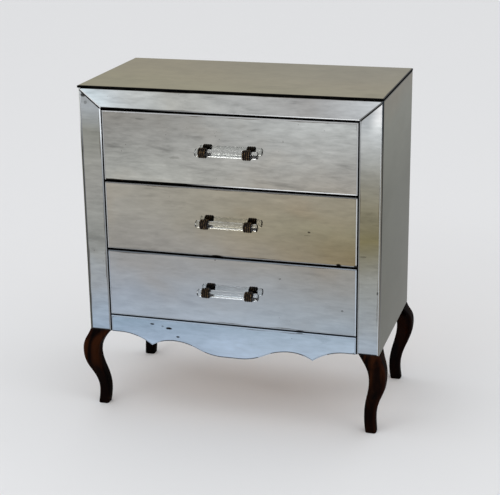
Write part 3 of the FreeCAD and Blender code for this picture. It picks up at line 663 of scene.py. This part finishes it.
leg = {
    # From the top down, in mm: height, middle's distance in from the case corner, width, rounding.
    "sections": [(216.0, 27.0, 54.0, 3.0), (203.9, 20.0, 51.0, 6.5), (187.9, 10.0, 46.5, 7.0),
                 (160.1, 3.0, 42.0, 7.0), (117.9, 8.25, 39.0, 7.0), (84.0, 19.0, 33.5, 7.0),
                 (48.0, 25.3, 29.5, 7.0), (9.07, 23.0, 28.5, 6.5), (0.0, 21.8, 28.0, 6.5)],
    "rows": 72,
    "arc": 9,         # points round each rounded corner
    "soleEase": 0.6,  # how far the sole's edge draws in over the lowest mm
    # The side and the face of the case that each leg stands by, and its turn in degrees.
    "corners": {"rear_right": (1, "back", 0), "rear_left": (-1, "back", 90),
                "front_left": (-1, "front", 180), "front_right": (1, "front", 270)},
    "dark": ((2, 1, 1), (10, 3, 2)), "warm": (46, 21, 7), "ridge": (58, 26, 13), "scuff": (60, 42, 30),
    # The rear pair's loss of warm tones is painted shade: the rear legs stand in shadow.
    "rear": 0.65,     # how much of the warm tones the rear pair loses
}


def naturalSpline(at, heights, values):
    # The curve through the values that bends least: its second differences solve the usual
    # three-term equations with none at the ends, and each span is the cubic between them.
    order = np.argsort(heights)
    x, y = np.asarray(heights)[order], np.asarray(values)[order]
    h = np.diff(x)
    system = np.eye(len(x))
    right = np.zeros(len(x))
    inner = np.arange(1, len(x) - 1)
    system[inner, inner - 1], system[inner, inner + 1] = h[:-1], h[1:]
    system[inner, inner] = 2 * (h[:-1] + h[1:])
    right[inner] = 6 * (np.diff(y)[1:] / h[1:] - np.diff(y)[:-1] / h[:-1])
    bend = np.linalg.solve(system, right)
    span = np.clip(np.searchsorted(x, at) - 1, 0, len(h) - 1)
    t, s = at - x[span], h[span]
    rise = np.diff(y)[span] / s - s * (2 * bend[span] + bend[span + 1]) / 6
    return y[span] + t * (rise + t * (bend[span] / 2 + t * (bend[span + 1] - bend[span]) / (6 * s)))


def roundedSquares(width, rounding, arc):
    # Squares of given widths whose corners are quarter circles: corner middle + rounding * (cos, sin).
    quarter = np.linspace(0, math.pi / 2, arc)
    angle = (np.arange(4)[:, None] * math.pi / 2 + quarter[None]).ravel()
    middle = np.repeat(np.array([(1, 1), (-1, 1), (-1, -1), (1, -1)]), arc, axis=0)
    reach = (width / 2 - rounding)[:, None, None]
    return middle[None] * reach + rounding[:, None, None] * np.stack([np.cos(angle), np.sin(angle)], -1)[None]


def legShell():
    # A rounded square at each height: its middle, width and rounding follow splines through the
    # sections. The sole and the top are closed by fans of triangles.
    heights, insets, widths, roundings = np.array(leg["sections"]).T
    z = np.concatenate([[0, 0.5, 1.0], np.linspace(2.0, heights[0], leg["rows"])])
    inset, width, rounding = (naturalSpline(z, heights, values) for values in (insets, widths, roundings))
    eased = np.clip(1 - z, 0, 1) * leg["soleEase"]
    ring = roundedSquares(width - 2 * eased, rounding, leg["arc"]) - inset[:, None, None]
    count = ring.shape[1]
    points = np.concatenate([ring, np.broadcast_to(z[:, None, None], (len(z), count, 1))], axis=-1)
    outer = (ring.sum(-1) + 2 * inset[:, None]) / width[:, None]  # 1 or so at the outer ridge
    faces = gridFaces(len(z), count, wrap=True)
    c = np.arange(count)
    after = np.roll(c, -1)
    last = (len(z) - 1) * count
    tips = np.array([[-inset[0], -inset[0], 0.0], [-inset[-1], -inset[-1], heights[0]]])
    sole = last + count
    faces += np.stack([np.full(count, sole), after, c], -1).tolist()
    faces += np.stack([np.full(count, sole + 1), last + c, last + after], -1).tolist()
    return {"points": np.vstack([points.reshape(-1, 3), tips]), "faces": faces,
            "values": np.concatenate([outer.ravel(), [0, 0]])}


def polishedWood():
    # Dark red-brown French polish over straight grain, rubbed thin along the outer ridge. The rear pair
    # keeps less of the warm tones: painted shade.
    f = newFinish("french_polished_wood")
    grain = f.noise((95, 95, 9), 6.0, 0.65, 0.5)
    figure = f.noise((26, 26, 3.5), 3.0, 0.5, 1.2)
    dark = f.mix(f.step(grain, 0.35, 0.7), *(tone(*given) for given in leg["dark"]))
    high = f.step(f.axis(2), 0.05, 0.17)
    # Painted shade: the rear legs lose most of the warm tones.
    frontLight = 1 - f.step(f.axis(1), -0.05, 0.1) * leg["rear"]
    warm = f.mix(f.step(figure, 0.4, 0.7) * (0.15 + high * 0.65) * frontLight, dark, tone(*leg["warm"]))
    ridge = f.step(f.attribute("ridge") + (grain - 0.5) * 0.25, 0.72, 1.05)
    colour = f.mix(ridge * 0.35 * frontLight, warm, tone(*leg["ridge"]))
    scuffs = f.step(f.noise((30, 30, 30), 5.0, 0.7), 0.56, 0.75)
    low = 1 - f.step(f.axis(2), 0.004, 0.03)
    colour = f.mix(scuffs * low * 0.6, colour, tone(*leg["scuff"]))
    return surface(f, {"Base Color": colour, "Roughness": 0.36 + scuffs * 0.2 + grain * 0.08,
                       "Specular IOR Level": 0.0, "Coat Weight": 0.05, "Coat Roughness": 0.12,
                       "Normal": f.bump(grain, 0.0003, 0.6)})


def legs():
    finish = polishedWood()
    base = legShell()
    for name, (sign, face, turn) in leg["corners"].items():
        c, s = math.cos(math.radians(turn)), math.sin(math.radians(turn))
        spin = np.array([[c, -s, 0], [s, c, 0], [0, 0, 1]])
        corner = (sign * case["side"], case[face], 0)
        shell = {**base, "points": (base["points"] @ spin.T + corner) / 1000}
        made = piece(name + "_cabriole", shell, [finish], "carcass", attribute="ridge")
        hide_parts(name + "_leg")


legs()
print("legs made")


# ---- handles

handle = {
    "standOff": 20.0, "spacing": 112.0,  # all in mm
    "collarRadius": 13.0, "collarWidth": 20.0, "bore": 9.6,
    "pitch": 5.0, "beadDepth": 1.6, "bulge": 0.3, "bulgeReach": 24.0,
    "post": [(0.0, 7.5), (1.0, 7.5), (1.7, 7.1), (2.1, 6.1), (2.4, 5.7), (3.1, 5.9), (3.7, 5.3),
             (4.3, 4.2), (5.4, 3.9), (6.6, 4.3), (7.6, 5.2), (8.6, 5.6), (9.4, 5.0)],
    "rubbed": (4.4, 7.0),  # the post is dark at one radius and rubbed at the other
    "stud": 29.9, "studRadius": 3.0, "thread": 1.0, "threadFrom": 21.0, "threadDepth": 0.26,
    "tip": 0.6, "tipDrop": 0.4,
    "rodLength": 160.0, "rodRadius": 9.5, "rodRound": 4.0,
    "around": {"collar": 56, "post": 40, "stud": 20, "rod": 96},  # points round each
    # Each handle's height, and how far its rod sits to the right.
    "rows": {"upper": (711.25, 4.0), "middle": (529.74, 1.0), "lower": (349.49, 1.0)},
    "brass": {"dark": (3, 2, 2), "brown": (34, 25, 18), "gold": (152, 124, 84)},
}


def collarShell(x, z):
    # A collar of half-round beads that bulges towards its middle, and a plain bore. Its radius is
    # outer * (1 - bulge * (1 - crown)) - depth * (1 - |cos|) of the place along it.
    h = handle
    half = h["collarWidth"] / 2
    along = np.linspace(-half, half, 65)
    swell = np.abs(np.cos(math.pi * (along - h["pitch"] / 2) / h["pitch"]))
    crown = np.sqrt(1 - (along / h["bulgeReach"]) ** 2)
    radius = h["collarRadius"] * (1 - h["bulge"] * (1 - crown)) - h["beadDepth"] * (1 - swell)
    bore = np.linspace(half, -half, 5)
    profile = np.concatenate([along, bore])
    radii = np.concatenate([radius, np.full(len(bore), h["bore"])])
    worn = np.concatenate([swell, np.zeros(len(bore))])
    return turnedShell(profile, radii, h["around"]["collar"], (x, case["front"] - h["standOff"], z),
                       (1, 0, 0), (0, 0, 1), worn, loop=True)


def postShell(x, z):
    # A foot, a bead and a waist turned round an axis that leads out from the mirror.
    along, radius = np.array(handle["post"]).T
    fine = np.linspace(0, along[-1], 40)
    radii = np.interp(fine, along, radius)
    low, high = handle["rubbed"]
    worn = np.clip((radii - low) / (high - low), 0, 1) * 0.8
    fine, radii, worn = capped(fine, radii, worn)
    return turnedShell(fine, radii, handle["around"]["post"], (x, case["front"], z), (0, -1, 0),
                       (0, 0, 1), worn)


def studShell(x, z):
    # A stud with a rounded thread: past the board its radius falls and rises once each turn, by
    # depth / 2 * (1 - cos), and drops at its tip.
    h = handle
    along = np.linspace(0.5, h["stud"], 150)
    ripple = h["threadDepth"] / 2 * (1 - np.cos(2 * math.pi * along / h["thread"]))
    ripple = np.where(along > h["stud"] - h["tip"], h["tipDrop"], ripple * (along > h["threadFrom"]))
    along, radius = capped(along, h["studRadius"] - ripple)
    return turnedShell(along, radius, h["around"]["stud"], (x, case["front"], z), (0, 1, 0), (0, 0, 1))


def rodShell(middle, z):
    # A straight rod whose ends are rounded over by a quarter circle.
    h = handle
    half, radius, ease = h["rodLength"] / 2, h["rodRadius"], h["rodRound"]
    t = np.linspace(0, math.pi / 2, 14)
    endX, endR = half - ease + ease * np.cos(t), radius - ease + ease * np.sin(t)
    body = np.linspace(ease - half, half - ease, 30)[1:-1]
    along = np.concatenate([-endX, body, endX[::-1]])
    radii = np.concatenate([endR, np.full(len(body), radius), endR[::-1]])
    return turnedShell(*capped(along, radii), h["around"]["rod"],
                       (middle, case["front"] - h["standOff"], z), (1, 0, 0), (0, 0, 1))


def agedBrass():
    # Brass gone nearly black, with gold left on the crests of the beads.
    f = newFinish("patinated_brass")
    patina = f.noise((220, 220, 220), 5.0, 0.7, 0.3)
    crest = f.attribute("worn")
    bright = f.step(crest * 0.65 + patina * 0.85, 1.03, 1.2)
    tones = {key: tone(*given) for key, given in handle["brass"].items()}
    dark = f.mix(f.step(patina * 0.5 + crest * 0.6, 0.45, 0.95), tones["dark"], tones["brown"])
    colour = f.mix(bright, dark, tones["gold"])
    return surface(f, {"Base Color": colour, "Metallic": bright, "Roughness": 0.5 - bright * 0.2,
                       "Specular IOR Level": 0.12, "Normal": f.bump(patina, 0.0002, 0.7)})


def clearGlass():
    f = newFinish("clear_glass_rod")
    film = f.noise((20, 90, 90), 3.0, 0.6)
    colour = f.mix(f.step(film, 0.45, 0.8), tone(251, 253, 253), tone(238, 242, 242))
    return surface(f, {"Base Color": colour, "Roughness": 0.0, "IOR": 1.49, "Transmission Weight": 1.0})


def handles():
    brass, clear = agedBrass(), clearGlass()
    for level, (z, rodX) in handle["rows"].items():
        body = f"{level}_drawer"
        rod = piece(f"{level}_rod", rodShell(rodX, z), [clear], body)
        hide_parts(f"{level}_glass_rod")
        for side, sign in (("left", -1), ("right", 1)):
            x = sign * handle["spacing"] / 2
            shell = merged([collarShell(x, z), postShell(x, z), studShell(x, z)])
            made = piece(f"{level}_{side}_collar", shell, [brass], body, attribute="worn")
            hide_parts(f"{level}_{side}_bracket")


handles()
print("handles made")


# ---- wood and steel inside

# Each wood's pale and deep tones.
woods = {"board": ((186, 150, 106), (142, 102, 62)), "front": ((180, 142, 98), (134, 94, 56)),
         "ply": ((176, 138, 94), (146, 106, 66)), "black": ((18, 15, 13), (7, 6, 6))}


def plainWood(name, along, wood):
    # Planed softwood: bands of growth rings stretched along the grain, with fine pores.
    f = newFinish(name)
    pale, deep = woods[wood]
    stretch, pores = [14] * 3, [260] * 3
    stretch[along], pores[along] = 0.9, 7
    rings = f.noise(tuple(stretch), 2.0, 0.45, 1.6)
    bands = f.node("Math", {"operation": "FRACT"}, (rings * 9,))
    fine = f.noise(tuple(pores), 3.0, 0.6)
    colour = f.mix(f.step(bands, 0.1, 0.95) * 0.6 + (fine - 0.5) * 0.5, tone(*pale), tone(*deep))
    stain = f.step(f.noise((6, 6, 6), 4.0, 0.6), 0.5, 0.75)
    colour = f.mix(stain * 0.25, colour, tone(*[c * 0.7 for c in deep]))
    return f, colour, fine


def boardWood(name, along, wood="board"):
    f, colour, fine = plainWood(name, along, wood)
    return surface(f, {"Base Color": colour, "Roughness": 0.62 + fine * 0.15, "Specular IOR Level": 0.35,
                       "Normal": f.bump(fine, 0.0003, 0.5)})


def frontWood(name, along, start, end):
    # Boards by the front of the case: black up to start and bare past end, in metres along Y.
    f, colour, fine = plainWood(name, along, "front")
    outside = 1 - f.step(f.axis(1) + (fine - 0.5) * 0.001, start, end)
    colour = f.mix(outside, colour, tone(8, 7, 7))
    return surface(f, {"Base Color": colour, "Roughness": 0.6 + fine * 0.15, "Specular IOR Level": 0.2,
                       "Normal": f.bump(fine, 0.0003, 0.4)})


def blackWood():
    f = newFinish("black_stained_wood")
    pale, deep = woods["black"]
    grain = f.noise((12, 120, 120), 4.0, 0.6)
    rub = f.step(f.noise((16, 16, 16), 4.0, 0.65), 0.56, 0.78)
    colour = f.mix(f.step(grain, 0.4, 0.7), tone(*deep), tone(*pale))
    colour = f.mix(rub * 0.5, colour, tone(30, 27, 26))
    return surface(f, {"Base Color": colour, "Roughness": 0.6 + grain * 0.2, "Specular IOR Level": 0.2,
                       "Normal": f.bump(grain, 0.0004, 0.5)})


def dullSteel():
    f = newFinish("dull_steel")
    tarnish = f.noise((300, 300, 300), 4.0, 0.65)
    rust = f.step(f.noise((90, 90, 90), 4.0, 0.7), 0.6, 0.75)
    colour = f.mix(f.step(tarnish, 0.35, 0.7), tone(120, 118, 114), tone(164, 161, 156))
    colour = f.mix(rust * 0.6, colour, tone(96, 62, 40))
    return surface(f, {"Base Color": colour, "Metallic": 1 - rust * 0.7, "Roughness": 0.36 + tarnish * 0.2,
                       "Normal": f.bump(tarnish, 0.0001, 0.5)})


def dressNodes(steel):
    # A row gives the finish of the nodes whose names end in its words. The rest are black.
    across, deep, up = (boardWood(f"wood_grain_{way}", axis)
                        for axis, way in enumerate(("across", "deep", "up")))
    # The kickers are black at their front ends: painted shade where they show through the gaps.
    finishes = {("front_board",): frontWood("drawer_front_wood", 0, -0.1701, -0.1694),
                ("kickers",): frontWood("kicker_wood_painted_shade", 1, -0.12, -0.08),
                ("_nuts", "leg_bolts"): steel, ("corner_blocks",): up, ("_back",): across,
                ("back_panel", "bottom_board", "_bottom"): boardWood("thin_ply", 0, "ply"),
                ("runners", "left_side", "right_side"): deep}
    black = blackWood()
    for name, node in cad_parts.items():
        finish = next((given for ends, given in finishes.items() if name.endswith(ends)), black)
        for slot in node.material_slots:
            slot.material = finish


pins = {"radius": 2.2, "height": 0.9, "edge": 366.0, "low": 224.0, "high": 829.0, "across": 8, "up": 7}


def panelPins(steel):
    # Small domed pins round the back panel: height = full * sqrt(1 - (r / radius)^2).
    p = pins
    across = np.linspace(-p["edge"], p["edge"], p["across"])
    up = np.linspace(p["low"], p["high"], p["up"])[1:-1]
    places = [(x, z) for x in across for z in (p["low"], p["high"])]
    places += [(x, z) for x in (-p["edge"], p["edge"]) for z in up]
    share = np.array([1.0, 0.94, 0.7, 0.35, 0.0])
    along = np.append(0, p["height"] * np.sqrt(1 - share ** 2))
    radius = np.append(0, share * p["radius"])
    shells = [turnedShell(along, radius, 10, (x, case["back"], z), (0, 1, 0), (0, 0, 1)) for x, z in places]
    piece("back_panel_pins", merged(shells), [steel], "carcass")


steelFinish = dullSteel()
dressNodes(steelFinish)
panelPins(steelFinish)
print("inside dressed")


# ---- floor, light and camera

studio = {
    "floorTone": (226, 227, 229), "floorSize": 60.0,
    "backTone": (216, 217, 219),  # what the camera and the glass see past the floor
    "skyStrength": 0.97,
    "key": {"at": (-1.5, -3.3, 3.02), "size": (3.0, 0.5), "power": 26.0},
    "fill": {"at": (3.0, -1.2, 2.0), "size": (1.6, 1.8), "power": 8.0},
    "aim": (0, 0, 0.45),          # what both lamps point at
}


def makeFloor():
    half = studio["floorSize"] / 2
    corners = [(-half, -half, 0), (half, -half, 0), (half, half, 0), (-half, half, 0)]
    mesh = bpy.data.meshes.new("floor")
    mesh.from_pydata(corners, [], [(0, 1, 2, 3)])
    paint = {"Base Color": tone(*studio["floorTone"]), "Roughness": 0.85, "Specular IOR Level": 0.1}
    mesh.materials.append(surface(newFinish("pale_floor"), paint))
    linked("floor", mesh)


def makeSky():
    world = bpy.data.worlds.new("studio")
    bpy.context.scene.world = world
    f = Finish(world)
    camera, glossy, through = (f.node("LightPath", out=f"Is {ray} Ray")
                               for ray in ("Camera", "Glossy", "Transmission"))
    seen = f.larger(f.larger(camera, glossy), through)
    light = f.node("Background", None, {"Color": (1, 1, 1, 1), "Strength": studio["skyStrength"]})
    shown = f.node("Background", None, {"Color": tone(*studio["backTone"]), "Strength": 1.0})
    blended = f.node("MixShader", None, {0: seen, 1: light, 2: shown})
    f.node("OutputWorld", None, (blended,))


def makeLamp(name, spec):
    lamp = bpy.data.lights.new(name, "AREA")
    lamp.shape = "RECTANGLE"
    lamp.size, lamp.size_y = spec["size"]
    lamp.energy = spec["power"]
    back = np.array(spec["at"]) - studio["aim"]
    back /= np.linalg.norm(back)
    side = np.cross((0, 0, 1), back)
    side /= np.linalg.norm(side)
    turn = np.stack([side, np.cross(back, side), back], axis=-1)
    linked(name, lamp).matrix_world = Matrix.Translation(spec["at"]) @ Matrix(turn.tolist()).to_4x4()


lens = {"focal": 95.13, "sensor": 36.0, "at": (0.938546, -3.169039, 1.485245),
        "left": 16.524, "down": 18.056, "roll": -0.818}  # angles in degrees


def makeCamera():
    left, down, roll = (math.radians(lens[name]) for name in ("left", "down", "roll"))
    ahead = np.array([-math.sin(left) * math.cos(down), math.cos(left) * math.cos(down), -math.sin(down)])
    side = np.cross(ahead, (0, 0, 1))
    side /= np.linalg.norm(side)
    up = np.cross(side, ahead)
    right = math.cos(roll) * side + math.sin(roll) * up
    upward = -math.sin(roll) * side + math.cos(roll) * up
    turn = np.stack([right, upward, -ahead], axis=-1)
    data = bpy.data.cameras.new("camera")
    data.lens, data.sensor_width, data.sensor_fit = lens["focal"], lens["sensor"], "HORIZONTAL"
    camera = linked("camera", data)
    camera.matrix_world = Matrix.Translation(lens["at"]) @ Matrix(turn.tolist()).to_4x4()
    bpy.context.scene.camera = camera


makeFloor()
makeSky()
for kind in ("key", "fill"):
    makeLamp(kind + "_softbox", studio[kind])
makeCamera()
bpy.context.scene.view_settings.view_transform = "Standard"
print("studio set")
